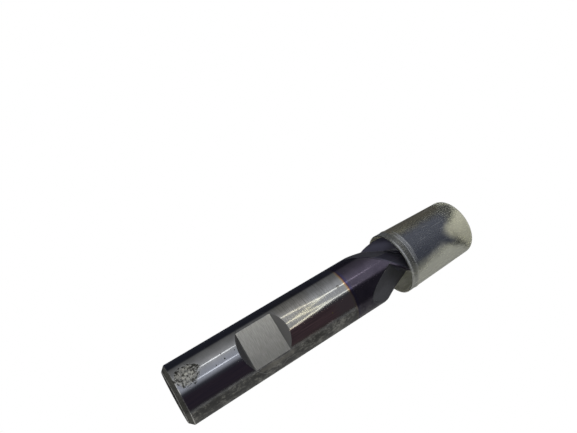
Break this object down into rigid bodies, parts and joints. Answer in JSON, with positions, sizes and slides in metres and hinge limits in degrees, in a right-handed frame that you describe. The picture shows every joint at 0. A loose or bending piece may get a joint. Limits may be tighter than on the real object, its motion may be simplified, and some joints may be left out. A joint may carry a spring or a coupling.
{
  "type": "end mill",
  "caption": "Solid carbide end mill with a cylindrical shank, a clamping flat, right-hand helical flutes and a frosted slip-on cap over its cutting end.",
  "frame": {"origin": "centre of the shank's end face, on which the tool stands", "axes": "+Z along the tool's axis to the cutting tip, -Y out of the clamping flat"},
  "size_m": [0.0184, 0.0184, 0.0926],
  "materials": {
    "coated_carbide": "satin",
    "frosted_plastic": "frosted"
  },
  "bodies": {
    "root": {"cutter": "coated_carbide", "tip_cap": "frosted_plastic"}
  },
  "joints": []
}
